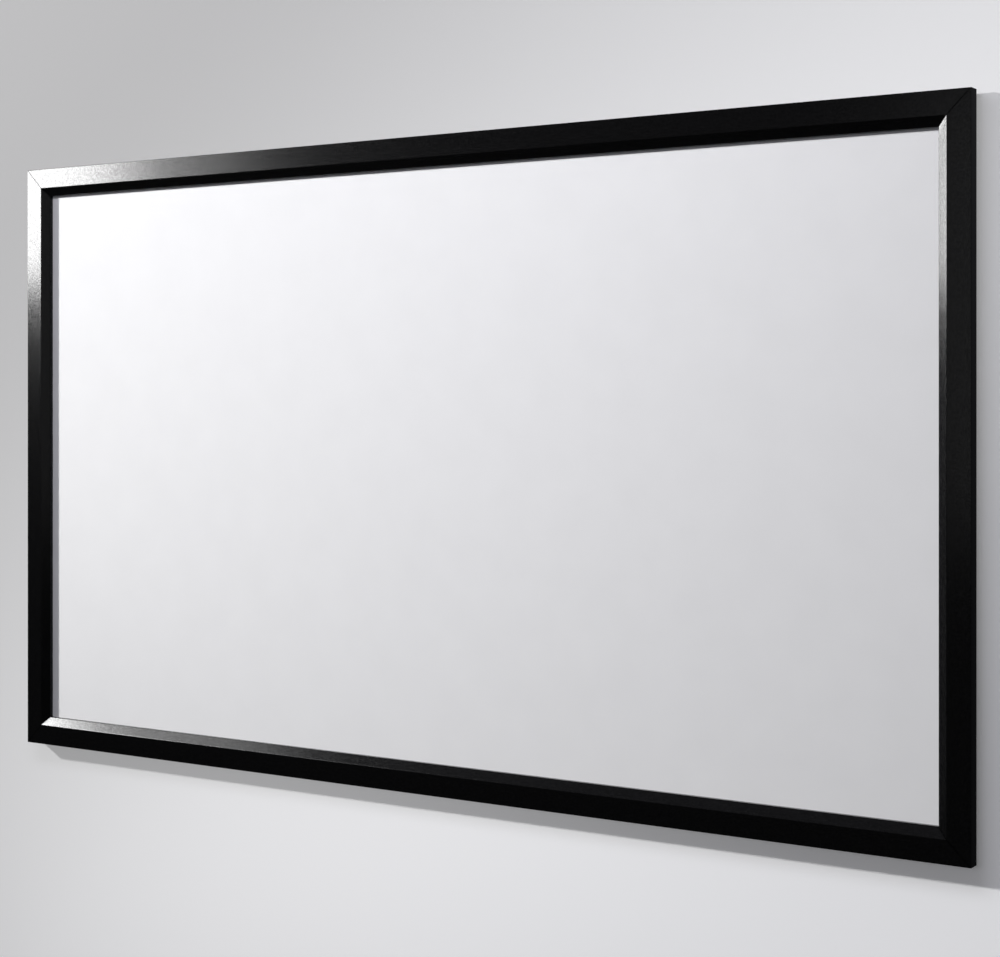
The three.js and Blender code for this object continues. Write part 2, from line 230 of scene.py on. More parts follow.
def length(name, description, default):
    return FloatProperty(name=name, description=description, default=default, unit="LENGTH", precision=5)


def angle(name, description, degrees):
    default = math.radians(degrees)
    return FloatProperty(name=name, description=description, default=default, subtype="ANGLE")


def colour(name, description, default):
    return FloatVectorProperty(
        name=name, description=description, default=default, subtype="COLOR", size=3, min=0, max=1
    )


def share(name, description, default):
    return FloatProperty(name=name, description=description, default=default, min=0, max=1)


def power(name, description, default):
    return FloatProperty(name=name, description=description, default=default, min=0, subtype="POWER")


class ClothSettings(bpy.types.PropertyGroup):
    thickness: length("Thickness", "Thickness of the cloth", 0.5 * MM)
    lap: length("Lap", "How far the hem lies double on the sheet, past its inner line", 3 * MM)
    notch: length("Notch", "Width of the notch that lets a spring reach the rod", 12 * MM)
    thread: length("Thread", "Width of one thread of the weave", 0.45 * MM)
    front: colour("Front", "Colour of the picture side", (0.855, 0.852, 0.844))
    back: colour("Back", "Colour of the side that faces the wall", (0.022, 0.023, 0.025))
    stitch: length("Stitch pitch", "Distance between the stitches of a hem", 5 * MM)
    stitch_radius: length("Stitch radius", "Half the thickness of the sewing thread", 0.24 * MM)


class CoatingSettings(bpy.types.PropertyGroup):
    colour: colour("Colour", "Colour of the coating on the rails", (0.0024, 0.0024, 0.0025))
    grain: length("Grain", "Size of the grain in the coating", 3 * MM)
    smooth: share("Smoothest", "Roughness where the coating is smoothest", 0.1)
    rough: share("Roughest", "Roughness where the coating is roughest", 0.21)
    relief: length("Relief", "Height of the grain", 0.035 * MM)
    mitre: length("Mitre line", "Width of the hairline where two rails meet", 1.3 * MM)
    speck: length("Speck size", "Size of the dull specks", 2.6 * MM)
    speck_depth: share("Speck depth", "How much of the gloss the dullest specks take away", 0.45)


class TensionSettings(bpy.types.PropertyGroup):
    rod_radius: length("Rod radius", "Radius of the glass fibre rods in the hems", 2 * MM)
    rod_colour: colour("Rod colour", "Colour of the rods", (0.74, 0.71, 0.6))
    wire_radius: length("Wire radius", "Radius of the spring wire", 0.5 * MM)
    wire_sides: IntProperty(name="Wire sides", description="Sides of the round wire", default=6, min=3)
    coil_radius: length("Coil radius", "Outer radius of a coil", 3 * MM)
    steel: colour("Spring colour", "Colour of the plated spring wire", (0.62, 0.63, 0.64))


class HardwareSettings(bpy.types.PropertyGroup):
    edge: length("Edge", "Rounding of the edges of plates", 0.25 * MM)
    bend: length("Bend", "Radius of the bends of a bracket, at the middle of the sheet", 1.8 * MM)
    zinc: colour("Zinc", "Colour of the zinc plating", (0.56, 0.58, 0.6))
    screw: colour("Screws", "Colour of the blackened set screws", (0.045, 0.045, 0.05))
    screw_radius: length("Screw radius", "Outer radius of a set screw", 2.5 * MM)
    socket_radius: length("Socket radius", "Radius of the hexagon socket over its corners", 1.5 * MM)


class StageSettings(bpy.types.PropertyGroup):
    camera: FloatVectorProperty(
        name="Camera", description="Place of the camera", default=(2.1374, -3.0499, 0.1266),
        subtype="TRANSLATION",
    )
    turn: angle("Turn", "Turn of the camera to the left", 33.03)
    lens: FloatProperty(name="Lens", description="Focal length of the camera", default=71.0, unit="CAMERA")
    shift: FloatProperty(name="Shift", description="Upward shift of the lens", default=-0.0805)
    # Painted shade and painted light: the wall's colour darkens towards its upper left and brightens towards
    # its lower right, standing in for how light falls on it.
    wall_painted_shade_tone: colour("Dim wall", "Colour of the wall at its upper left", (0.17, 0.168, 0.169))
    wall_painted_light_tone: colour("Bright wall", "Colour of the wall at its lower right", (0.98, 0.98, 0.98))
    # Painted light: a glow that only the camera sees lifts the wall and the shadow on it, more at the upper
    # left than at the lower right.
    painted_glow_left: share("Wall glow, left", "What the camera sees added to the wall at its upper left", 0.3)
    painted_glow_right: share("Wall glow, right", "What the camera sees added to the wall at its lower right", 0.12)
    floor: colour("Floor", "Colour of the floor", (0.5, 0.5, 0.495))
    floor_glow: share("Floor glow", "What the camera sees added to the floor", 0.35)
    around: colour("Surroundings", "What the camera sees past the wall and the floor", (0.62, 0.62, 0.62))
    key: power("Key light", "Power of the far light at the upper left", 3400.0)
    cone: angle("Key cone", "Angle of the far light's cone", 50)
    top: power("Top light", "Power of the soft light over the camera", 22.5)
    fill: power("Fill light", "Power of the large soft light behind the camera", 29.0)
    gloss: power("Gloss light", "Power of the long light that the coating reflects at the left", 122.0)
    halo: power("Halo light", "Power of the dim light round the gloss light", 40.0)
    front: power("Front panel", "Power of the panel behind the camera that the coating reflects", 6.0)
    rear: power("Rear light", "Power of the soft lights behind the wall", 45.0)
    behind: power("Rear panel", "Power of the pale panel that metal reflects behind the wall", 40.0)
    tint: colour("Room tint", "Colour of the soft lights and of the light from all round", (0.905, 0.91, 1.0))
    room_low: share("Room light below", "Level of the light from the floor of the room", 0.02)
    room_high: share("Room light above", "Level of the light from the ceiling of the room", 0.16)


def side_matrix(side):
    """Turns a piece made at the top side, with Z = 0 on the outer side and Y = 0 in front, to its side."""
    turn = SIDES[side] * QUARTER_TURN
    reach = HALF_HEIGHT if side in LEVEL else HALF_WIDTH
    place = Vector((reach * math.sin(turn), FRONT, reach * math.cos(turn)))
    return Matrix.Translation(place) @ Matrix.Rotation(turn, 4, "Y")


def corner_matrix(corner):
    """Turns a piece made at the top right corner, with its arms to the left and down, to its corner."""
    turns, x, z = CORNERS[corner]
    place = Vector((x * HALF_WIDTH, FRONT, z * HALF_HEIGHT))
    return Matrix.Translation(place) @ Matrix.Rotation(turns * QUARTER_TURN, 4, "Y")


# Nodes


def add(tree, kind, inputs=None, out=0, **settings):
    """Adds a node, sets what it is, and gives its inputs values or links. Gives one of its outputs."""
    node = tree.nodes.new(kind)
    for name, value in settings.items():
        setattr(node, name, value)
    for name, value in (inputs or {}).items():
        if isinstance(value, bpy.types.NodeSocket):
            tree.links.new(value, node.inputs[name])
        else:
            node.inputs[name].default_value = value
    return node.outputs[out] if node.outputs else None


def calculate(tree, operation, first, second=0.0):
    return add(tree, "ShaderNodeMath", {0: first, 1: second}, operation=operation)


def sum_of(tree, first, second, weight):
    return calculate(tree, "ADD", first, calculate(tree, "MULTIPLY", second, weight))


def empty_tree(owner):
    """The node tree of a new material or world, with nothing in it."""
    owner.use_nodes = True
    owner.node_tree.nodes.clear()
    return owner.node_tree


def new_material(name):
    material = bpy.data.materials.new(name)
    return material, empty_tree(material)


def finish_with(tree, **inputs):
    """Ends a material's tree in one Principled shader with the given values and links."""
    named = {name.replace("_", " "): value for name, value in inputs.items()}
    shader = add(tree, "ShaderNodeBsdfPrincipled", named)
    add(tree, "ShaderNodeOutputMaterial", {"Surface": shader})


def object_place(tree):
    return add(tree, "ShaderNodeTexCoord", out="Object")


def axis(tree, place, name):
    return add(tree, "ShaderNodeSeparateXYZ", {0: place}, name)


def scaled(tree, place, scale):
    return add(tree, "ShaderNodeMapping", {"Vector": place, "Scale": scale})


def noise(tree, place, size, detail):
    return add(tree, "ShaderNodeTexNoise", {"Vector": place, "Scale": 1 / size, "Detail": detail})


def ramp(tree, value, start, end, low=0.0, high=1.0, kind="SMOOTHSTEP"):
    inputs = {"Value": value, "From Min": start, "From Max": end, "To Min": low, "To Max": high}
    return add(tree, "ShaderNodeMapRange", inputs, interpolation_type=kind)


def spread(tree, value, low=0.0, high=1.0):
    """Spreads the middle of a noise over the range from low to high."""
    return ramp(tree, value, *NOISE_MIDDLE, low, high, "LINEAR")


def blend(tree, factor, first, second, kind="MIX"):
    inputs = {0: factor, 6: first, 7: second}
    return add(tree, "ShaderNodeMix", inputs, 2, data_type="RGBA", blend_type=kind)


def rgba(tone, level=1.0):
    return (*(part * level for part in tone), 1.0)


def mottled(tree, value, tone, low, high):
    """A tone that a noise varies between two levels of it."""
    return blend(tree, spread(tree, value), rgba(tone, low), rgba(tone, high))


def relief(tree, height, distance, strength=1.0):
    inputs = {"Height": height, "Distance": distance, "Strength": strength}
    return add(tree, "ShaderNodeBump", inputs)


def mitre_line(tree, place, width):
    """1 on the cut where two rails meet, and 0 off it. The cut runs at 45 degrees from each outer corner."""
    across, up = (calculate(tree, "ABSOLUTE", axis(tree, place, name)) for name in ("X", "Z"))
    off = calculate(tree, "SUBTRACT", calculate(tree, "SUBTRACT", across, up), HALF_WIDTH - HALF_HEIGHT)
    return calculate(tree, "LESS_THAN", calculate(tree, "ABSOLUTE", off), width / math.sqrt(2))


# Finishes


def coating_finish(settings):
    """Satin black powder coat: a grain and dull specks that break up its highlights, and a hairline on the
    mitres. Metallic over black reflects next to nothing, and so makes the specks and the hairline dull."""
    material, tree = new_material("coating_black_satin")
    place = object_place(tree)
    grain = noise(tree, place, settings.grain, 3.0)
    fine = noise(tree, place, settings.grain / 4, 1.0)
    tone = mottled(tree, grain, settings.colour, 0.7, 1.5)
    mitre = mitre_line(tree, place, settings.mitre)
    specks = spread(tree, noise(tree, place, settings.speck, 1.0), 0.0, settings.speck_depth)
    finish_with(
        tree, Specular_IOR_Level=0.5,
        Base_Color=blend(tree, mitre, tone, rgba(settings.colour, 0.2)),
        Metallic=calculate(tree, "MAXIMUM", specks, mitre),
        Roughness=spread(tree, grain, settings.smooth, settings.rough),
        Normal=relief(tree, sum_of(tree, grain, fine, 0.5), settings.relief),
    )
    return material


def cloth_finish(name, tone, thread, roughness, sheen):
    """Cloth with threads both ways along its flat cut, and a faint cloud in its tone."""
    material, tree = new_material(name)
    cut = add(tree, "ShaderNodeUVMap", uv_map="flat_cut")
    warp = noise(tree, scaled(tree, cut, (1.0, 1 / 14, 1.0)), thread, 1.0)
    weft = noise(tree, scaled(tree, cut, (1 / 14, 1.0, 1.0)), thread, 1.0)
    weave = sum_of(tree, warp, weft, 1.0)
    cloud = mottled(tree, noise(tree, cut, 90 * MM, 2.0), tone, 0.99, 1.01)
    threads = mottled(tree, weave, (1.0, 1.0, 1.0), 0.97, 1.0)
    finish_with(
        tree, Roughness=roughness, Specular_IOR_Level=0.2, Sheen_Weight=sheen, Sheen_Roughness=0.6,
        Base_Color=blend(tree, 1.0, cloud, threads, "MULTIPLY"),
        Normal=relief(tree, weave, 0.05 * MM, 0.6),
    )
    return material


def thread_finish(tone):
    material, tree = new_material("thread_white")
    twist = noise(tree, object_place(tree), 0.3 * MM, 2.0)
    finish_with(
        tree, Roughness=0.7, Sheen_Weight=0.3,
        Base_Color=blend(tree, twist, rgba(tone, 0.85), rgba(tone, 1.0)),
        Normal=relief(tree, twist, 0.05 * MM),
    )
    return material


def rod_finish(tone):
    """Glass fibre: fine streaks along the rod. It varies with the depth, which is across every rod."""
    material, tree = new_material("glass_fibre")
    streaks = noise(tree, scaled(tree, object_place(tree), (12.0, 2500.0, 12.0)), 1.0, 3.0)
    finish_with(
        tree, Specular_IOR_Level=0.5, Subsurface_Weight=0.05,
        Base_Color=mottled(tree, streaks, tone, 0.78, 1.06),
        Roughness=spread(tree, streaks, 0.32, 0.5),
        Normal=relief(tree, streaks, 0.03 * MM),
    )
    return material


def metal_finish(name, tone, roughness, size, metallic=1.0):
    """Plated metal: clouded plating, with fine scratches in its gloss."""
    material, tree = new_material(name)
    place = object_place(tree)
    cloud = noise(tree, place, size, 3.0)
    scratch = noise(tree, scaled(tree, place, (1.0, 1.0, 9.0)), size / 6, 2.0)
    warm = tuple(part * tint for part, tint in zip(tone, (1.04, 1.0, 0.93)))
    finish_with(
        tree, Metallic=metallic,
        Base_Color=blend(tree, spread(tree, cloud), rgba(tone, 0.86), rgba(warm, 1.05)),
        Roughness=spread(tree, sum_of(tree, cloud, scratch, 0.4), *roughness),
        Normal=relief(tree, scratch, 0.008 * MM),
    )
    return material


# Meshes


def mesh_of(bm, name):
    mesh = bpy.data.meshes.new(name)
    bm.to_mesh(mesh)
    bm.free()
    return mesh


def fill_rows(bm, rows, dropped=()):
    """Faces between rows of points, without those that dropped names by row and place."""
    for i, (near, far) in enumerate(zip(rows, rows[1:])):
        for j in range(len(near) - 1):
            if (i, j) not in dropped:
                bm.faces.new((near[j], near[j + 1], far[j + 1], far[j]))


def skin(rings):
    """A closed skin over rings of points, each with as many points as the next."""
    bm = bmesh.new()
    rows = [[bm.verts.new(point) for point in ring] for ring in rings]
    fill_rows(bm, [[*row, row[0]] for row in rows])
    bm.faces.new(rows[0])
    bm.faces.new(rows[-1])
    bmesh.ops.recalc_face_normals(bm, faces=bm.faces)
    return bm


def line_mesh(places, name):
    """A line of edges through places given as X, depth and inset."""
    bm = bmesh.new()
    points = [bm.verts.new((x, depth, -inset)) for x, depth, inset in places]
    for ends in zip(points, points[1:]):
        bm.edges.new(ends)
    return mesh_of(bm, name)


def smooth(mesh, degrees=35):
    """Shades a mesh smooth, but for edges that turn by more than some degrees."""
    mesh.shade_smooth()
    mesh.set_sharp_from_angle(angle=math.radians(degrees))


def place_piece(name, mesh, material, replaced):
    """Makes a finished mesh a piece of the screen, in the place of its solids."""
    piece = hold(mesh, name)
    if material:
        mesh.materials.clear()
        mesh.materials.append(material)
    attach(piece, BODY)
    if replaced:
        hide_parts(*replaced)
    return piece


def place_turned(name, bm, matrix, material, solid):
    """A piece that is drawn at the top or at the top right corner, turned to its own place."""
    mesh = mesh_of(bm, name)
    mesh.transform(matrix)
    smooth(mesh)
    place_piece(name, mesh, material, [solid])


def plain_mesh(holder, name):
    """The evaluated shape of an object as a mesh of its own. The object is removed."""
    bpy.context.view_layer.update()
    depsgraph = bpy.context.evaluated_depsgraph_get()
    mesh = bpy.data.meshes.new_from_object(holder.evaluated_get(depsgraph), depsgraph=depsgraph)
    mesh.name = name
    bpy.data.objects.remove(holder)
    return mesh


def hold(data, name):
    holder = bpy.data.objects.new(name, data)
    bpy.context.scene.collection.objects.link(holder)
    return holder


def circle(x, y, radius, sides, start=0.0, turn=FULL_TURN, closed=True):
    """Points of a circle or an arc in a plane."""
    steps = sides if closed else sides - 1
    turns = [start + turn * i / steps for i in range(sides)]
    return [(x + radius * math.cos(at), y + radius * math.sin(at)) for at in turns]


def plate(outlines, thickness, edge, name):
    """A flat plate with holes and rounded edges: X and Y as drawn, its thickness along Z about 0."""
    curve = bpy.data.curves.new(name, "CURVE")
    curve.dimensions = "2D"
    curve.fill_mode = "BOTH"
    curve.extrude = thickness / 2 - edge
    curve.bevel_depth = edge
    curve.bevel_resolution = 1
    curve.offset = -edge
    for outline in outlines:
        spline = curve.splines.new("POLY")
        spline.points.add(len(outline) - 1)
        for point, (x, y) in zip(spline.points, outline):
            point.co = (x, y, 0, 1)
        spline.use_cyclic_u = True
    mesh = plain_mesh(hold(curve, name), name)
    bm = bmesh.new()
    bm.from_mesh(mesh)
    bpy.data.meshes.remove(mesh)
    bmesh.ops.remove_doubles(bm, verts=bm.verts, dist=SAME_POINT)
    bmesh.ops.recalc_face_normals(bm, faces=bm.faces)
    return bm


# Geometry node trees


def new_tree(name, sockets):
    tree = bpy.data.node_groups.new(name, "GeometryNodeTree")
    tree.interface.new_socket("Geometry", in_out="INPUT", socket_type="NodeSocketGeometry")
    for label, kind in sockets:
        tree.interface.new_socket(label, in_out="INPUT", socket_type="NodeSocket" + kind)
    tree.interface.new_socket("Geometry", in_out="OUTPUT", socket_type="NodeSocketGeometry")
    return tree, tree.nodes.new("NodeGroupInput").outputs


ROW_SOCKETS = [
    ("Count Across", "Int"), ("Pitch Across", "Float"), ("Count Up", "Int"), ("Pitch Up", "Float"),
    ("Half Width", "Float"), ("Half Height", "Float"), ("Front", "Float"),
]


def vector(tree, *values):
    return add(tree, "ShaderNodeCombineXYZ", dict(enumerate(values)))


def joined(tree, parts):
    join = tree.nodes.new("GeometryNodeJoinGeometry")
    for part in parts:
        tree.links.new(part, join.inputs[0])
    return join.outputs[0]


def rows_tree():
    """Repeats a piece in one row on each side of the screen, each row even about the side's middle."""
    name = "rows_on_four_sides"
    if name in bpy.data.node_groups:
        return bpy.data.node_groups[name]
    tree, given = new_tree(name, ROW_SOCKETS)
    ends = []
    for count, pitch, reach, turns in (
        ("Count Across", "Pitch Across", "Half Height", (0, 2)),
        ("Count Up", "Pitch Up", "Half Width", (1, 3)),
    ):
        gaps = calculate(tree, "SUBTRACT", given[count], 1.0)
        run = calculate(tree, "MULTIPLY", gaps, given[pitch])
        start = vector(tree, calculate(tree, "MULTIPLY", run, -0.5))
        inputs = {"Count": given[count], "Start Location": start, "Offset": vector(tree, given[pitch])}
        line = add(tree, "GeometryNodeMeshLine", inputs, mode="OFFSET", count_mode="TOTAL")
        inputs = {"Points": line, "Instance": given["Geometry"]}
        row = add(tree, "GeometryNodeInstanceOnPoints", inputs)
        for turn in turns:
            about = turn * QUARTER_TURN
            x = calculate(tree, "MULTIPLY", given[reach], round(math.sin(about)))
            z = calculate(tree, "MULTIPLY", given[reach], round(math.cos(about)))
            place = vector(tree, x, given["Front"], z)
            inputs = {"Geometry": row, "Translation": place, "Rotation": (0.0, about, 0.0)}
            ends.append(add(tree, "GeometryNodeTransform", inputs))
    add(tree, "NodeGroupOutput", {"Geometry": joined(tree, ends)})
    return tree


def rows_node(tree, piece, given, renamed=None):
    """The rows in another tree. renamed gives the tree's own name for an input that has another one there."""
    links = {label: given[(renamed or {}).get(label, label)] for label, _ in ROW_SOCKETS}
    inputs = {"Geometry": piece, **links}
    return add(tree, "GeometryNodeGroup", inputs, node_tree=rows_tree())


def finish_tree(tree, geometry, material):
    real = add(tree, "GeometryNodeRealizeInstances", {"Geometry": geometry})
    inputs = {"Geometry": real, "Material": material}
    add(tree, "NodeGroupOutput", {"Geometry": add(tree, "GeometryNodeSetMaterial", inputs)})


def wire_tree():
    """Round wire along a line of edges, repeated in rows: springs and stitches."""
    name = "wire_in_rows"
    if name in bpy.data.node_groups:
        return bpy.data.node_groups[name]
    sockets = [("Wire Radius", "Float"), ("Wire Sides", "Int"), *ROW_SOCKETS, ("Material", "Material")]
    tree, given = new_tree(name, sockets)
    line = add(tree, "GeometryNodeMeshToCurve", {"Mesh": given["Geometry"]})
    inputs = {"Resolution": given["Wire Sides"], "Radius": given["Wire Radius"]}
    section = add(tree, "GeometryNodeCurvePrimitiveCircle", inputs)
    inputs = {"Curve": line, "Profile Curve": section, "Fill Caps": True}
    wire = add(tree, "GeometryNodeCurveToMesh", inputs)
    finish_tree(tree, rows_node(tree, wire, given), given["Material"])
    return tree


def screw_tree():
    """A screw near each end of every side, twice."""
    again = {"Pitch Across": "Second Pitch Across", "Pitch Up": "Second Pitch Up"}
    sockets = [*ROW_SOCKETS, *((label, "Float") for label in again.values()), ("Material", "Material")]
    tree, given = new_tree("screws_at_corners", sockets)
    first = rows_node(tree, given["Geometry"], given)
    second = rows_node(tree, given["Geometry"], given, again)
    finish_tree(tree, joined(tree, [first, second]), given["Material"])
    return tree


def repeated(name, mesh, tree, values):
    """A mesh put through a tree, as a plain mesh."""
    holder = hold(mesh, name)
    modifier = holder.modifiers.new("rows", "NODES")
    modifier.node_group = tree
    for item in tree.interface.items_tree:
        if item.in_out == "INPUT" and item.name in values:
            modifier[item.identifier] = values[item.name]
    made = plain_mesh(holder, name)
    bpy.data.meshes.remove(mesh)
    return made


def row_values(across, pitch_across, up, pitch_up, material):
    return {
        "Count Across": across, "Pitch Across": pitch_across, "Count Up": up, "Pitch Up": pitch_up,
        "Half Width": HALF_WIDTH, "Half Height": HALF_HEIGHT, "Front": FRONT, "Material": material,
    }


def wire_rows(name, line, radius, sides, rows, degrees):
    """Round wire along a line, in rows, as a plain mesh."""
    values = {**rows, "Wire Radius": radius, "Wire Sides": sides}
    mesh = repeated(name, line_mesh(line, "wire_line"), wire_tree(), values)
    smooth(mesh, degrees)
    return mesh


# The cloth


def hem_path(settings):
    """Places down the middle of a hem's cloth as inset and depth, from the sheet round the rod and back, and
    whether a notch takes away what lies between each place and the next."""
    middle = CLOTH_DEPTH + settings.thickness / 2
    lap_depth = middle + settings.thickness + LAP_GAP
    notch_end = ROD_INSET + NOTCH_FROM_ROD
    sweep = HEM_LEAVES - 3 * QUARTER_TURN
    arc = circle(ROD_INSET, ROD_DEPTH, ROD_DEPTH - middle, ARC_STEPS + 1, -QUARTER_TURN, sweep, closed=False)
    leaves = arc[-1]
    meets = (ROD_INSET + HEM_MEETS, lap_depth)
    part = (notch_end - leaves[0]) / (meets[0] - leaves[0])
    cut = (notch_end, leaves[1] + part * (meets[1] - leaves[1]))
    path = [(SHEET_INSET, middle), (HEM_ROW, middle), (notch_end, middle), *arc, cut, meets]
    path += [(LAP_ROW, lap_depth), (SHEET_INSET + settings.lap, lap_depth)]
    notched = [2 <= i < path.index(cut) for i in range(len(path) - 1)]
    return path, notched


def spans(half, places, step):
    """Lines across a length: at both ends, at the given places, and about a step apart between them."""
    marks = sorted({-half, half, *places})
    lines = []
    for low, high in zip(marks, marks[1:]):
        count = max(1, round((high - low) / step))
        lines += [low + (high - low) * i / count for i in range(count)]
    return [*lines, half]


def spring_places(side):
    pitch = PITCH_ACROSS if side in LEVEL else PITCH_UP
    return [(i - (SPRINGS[side] - 1) / 2) * pitch for i in range(SPRINGS[side])]


def cloth_point(bm, flat, place, cut):
    """A point of the cloth that knows its place on the flat cut."""
    vertex = bm.verts.new(place)
    vertex[flat] = Vector((*cut, 0.0))
    return vertex


def add_hem(bm, flat, side, lines, settings):
    """One hem with its notches. Gives how far its flat cut reaches from the middle of the screen."""
    path, notched = hem_path(settings)
    reach = (HALF_HEIGHT if side in LEVEL else HALF_WIDTH) - SHEET_INSET
    place = side_matrix(side)
    turn = Matrix.Rotation(-SIDES[side] * QUARTER_TURN, 2)
    rows = []
    for before, (inset, depth) in zip([path[0], *path], path):
        reach += math.dist(before, (inset, depth))
        rows.append([
            cloth_point(bm, flat, place @ Vector((along, depth, -inset)), turn @ Vector((along, reach)))
            for along in lines
        ])
    middles = [(low + high) / 2 for low, high in zip(lines, lines[1:])]
    at_springs = [
        j for j, middle in enumerate(middles)
        if any(abs(middle - at) < settings.notch / 2 for at in spring_places(side))
    ]
    fill_rows(bm, rows, {(i, j) for i, cut in enumerate(notched) if cut for j in at_springs})
    return reach


def cloth_cut(settings):
    """The cloth's middle surface with its flat cut in a layer, the cut's width and height, and its area."""
    bm = bmesh.new()
    flat = bm.verts.layers.float_vector.new("flat")
    lines = {}
    for side, outer in (("top", HALF_WIDTH), ("right", HALF_HEIGHT)):
        edges = [place + way * settings.notch / 2 for place in spring_places(side) for way in (-1, 1)]
        lines[side] = spans(outer - SHEET_INSET, [*edges, HEM_END - outer, outer - HEM_END], SHEET_STEP)
    y = FRONT + CLOTH_DEPTH + settings.thickness / 2
    fill_rows(bm, [[cloth_point(bm, flat, (x, y, z), (x, z)) for x in lines["top"]] for z in lines["right"]])
    reach = {}
    for side in SIDES:
        like, outer = ("top", HALF_WIDTH) if side in LEVEL else ("right", HALF_HEIGHT)
        hem = [at for at in lines[like] if abs(at) <= outer - HEM_END + WELD]
        reach[like] = add_hem(bm, flat, side, hem, settings)
    bmesh.ops.remove_doubles(bm, verts=bm.verts, dist=WELD)
    bmesh.ops.recalc_face_normals(bm, faces=bm.faces)
    bm.faces.ensure_lookup_table()
    if max(bm.faces, key=lambda face: face.calc_area()).normal.y > 0:
        bmesh.ops.reverse_faces(bm, faces=bm.faces)
    cut = bm.loops.layers.uv.new("flat_cut")
    for face in bm.faces:
        for loop in face.loops:
            loop[cut].uv = loop.vert[flat].xy
    area = sum(face.calc_area() for face in bm.faces)
    bm.verts.layers.float_vector.remove(flat)
    return bm, (2 * reach["right"], 2 * reach["top"]), area


class ScreenOperator:
    bl_options = {"REGISTER", "UNDO"}


class MakeCoating(ScreenOperator, bpy.types.Operator):
    """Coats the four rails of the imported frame"""

    bl_idname = "projector_screen.coating"
    bl_label = "Rail Coating"

    def execute(self, context):
        coating = coating_finish(context.scene.screen_coating)
        for side in SIDES:
            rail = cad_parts["rail_" + side]
            rail.data.materials.clear()
            rail.data.materials.append(coating)
        return {"FINISHED"}


class MakeCloth(ScreenOperator, bpy.types.Operator):
    """Makes the cloth: one sheet with a hem round a rod along each side, and its stitches"""

    bl_idname = "projector_screen.cloth"
    bl_label = "Cloth and Hems"

    def execute(self, context):
        settings = context.scene.screen_cloth
        bm, flat, area = cloth_cut(settings)
        holder = hold(mesh_of(bm, "cloth_middle"), "cloth_middle")
        solid = holder.modifiers.new("thickness", "SOLIDIFY")
        solid.thickness = settings.thickness
        solid.offset = 0
        solid.use_even_offset = True
        solid.material_offset = 1
        white = cloth_finish("cloth_white", settings.front, settings.thread, 0.9, 0.1)
        backing = cloth_finish("cloth_backing", settings.back, settings.thread, 0.8, 0.15)
        for side in (white, backing):
            holder.data.materials.append(side)
        mesh = plain_mesh(holder, "screen_cloth")
        smooth(mesh, 50)
        cloth = place_piece("screen_cloth", mesh, None, ["projection_cloth"])
        stitches = self.stitch(settings)
        return {"FINISHED"}

    def stitch(self, settings):
        """A row of stitches along every hem, one stitch dipping into the cloth at both its ends."""
        pitch = settings.stitch
        depth = CLOTH_DEPTH + 2 * settings.thickness + LAP_GAP
        line = [(x * pitch, depth + out * settings.stitch_radius, STITCH_INSET) for x, out in STITCH_LINE]
        across, up = (int(2 * (outer - HEM_END) / pitch) - 1 for outer in (HALF_WIDTH, HALF_HEIGHT))
        rows = row_values(across, pitch, up, pitch, thread_finish(settings.front))
        mesh = wire_rows("hem_stitches", line, settings.stitch_radius, STITCH_SIDES, rows, 60)
        return place_piece("hem_stitches", mesh, None, [])


class MakeRods(ScreenOperator, bpy.types.Operator):
    """Makes the glass fibre rods that lie in the hems"""

    bl_idname = "projector_screen.rods"
    bl_label = "Hem Rods"

    def execute(self, context):
        settings = context.scene.screen_tension
        finish = rod_finish(settings.rod_colour)
        full = settings.rod_radius
        chamfer = full * ROD_CHAMFER
        for side in SIDES:
            half = ROD_HALF_ACROSS if side in LEVEL else ROD_HALF_UP
            places = [(-half, full - chamfer), (chamfer - half, full), (0, full)]
            places += [(half - chamfer, full), (half, full - chamfer)]
            rings = [
                [(x, ROD_DEPTH + across, up - ROD_INSET) for across, up in circle(0, 0, radius, ROD_SIDES)]
                for x, radius in places
            ]
            turn = side_matrix(side)
            place_turned("hem_rod_" + side, skin(rings), turn, finish, "tension_rod_" + side)
        return {"FINISHED"}


def spring_line(settings):
    """The middle of a spring's wire, from the tip of the hook over the ridge, along the close coil, to the
    tip of the hook round the rod. Places are X, depth and inset."""
    wire = settings.wire_radius
    mean = settings.coil_radius - wire
    over = RIDGE_FRONT - wire - TOUCH
    behind = RIDGE_INSETS[0] - wire - TOUCH
    line = [(0, over + depth, behind + inset) for depth, inset in RIDGE_HOOK]
    line += [
        (0, over, RIDGE_INSETS[1]),
        (0, over - 0.15 * MM, RIDGE_INSETS[1] + 1.2 * MM),
        (0.1 * mean, ROD_DEPTH - mean - 0.02 * MM, COIL_START - 1.1 * MM),
        (0.2 * mean, ROD_DEPTH - mean, COIL_START - 0.5 * MM),
    ]
    turns = math.floor((COIL_END - COIL_START) / (2 * wire + COIL_GAP)) - 0.5
    pitch = (COIL_END - COIL_START) / turns
    sweep = turns * FULL_TURN - 2 * TURN_IN
    steps = round(sweep / FULL_TURN * POINTS_A_TURN)
    for i in range(steps + 1):
        at = TURN_IN + sweep * i / steps
        along = COIL_START + pitch * at / FULL_TURN
        line.append((mean * math.sin(at), ROD_DEPTH - mean * math.cos(at), along))
    line.append((0.15 * mean, ROD_DEPTH + mean, COIL_END + 0.6 * MM))
    line.append((0, ROD_DEPTH + mean, COIL_END + 1.6 * MM))
    bend = settings.rod_radius + wire + TOUCH
    start, end = ROD_HOOK
    hook = circle(ROD_INSET, ROD_DEPTH, bend, ROD_HOOK_STEPS + 1, start, end - start, closed=False)
    return [*line, *((0, depth, inset) for inset, depth in hook)]


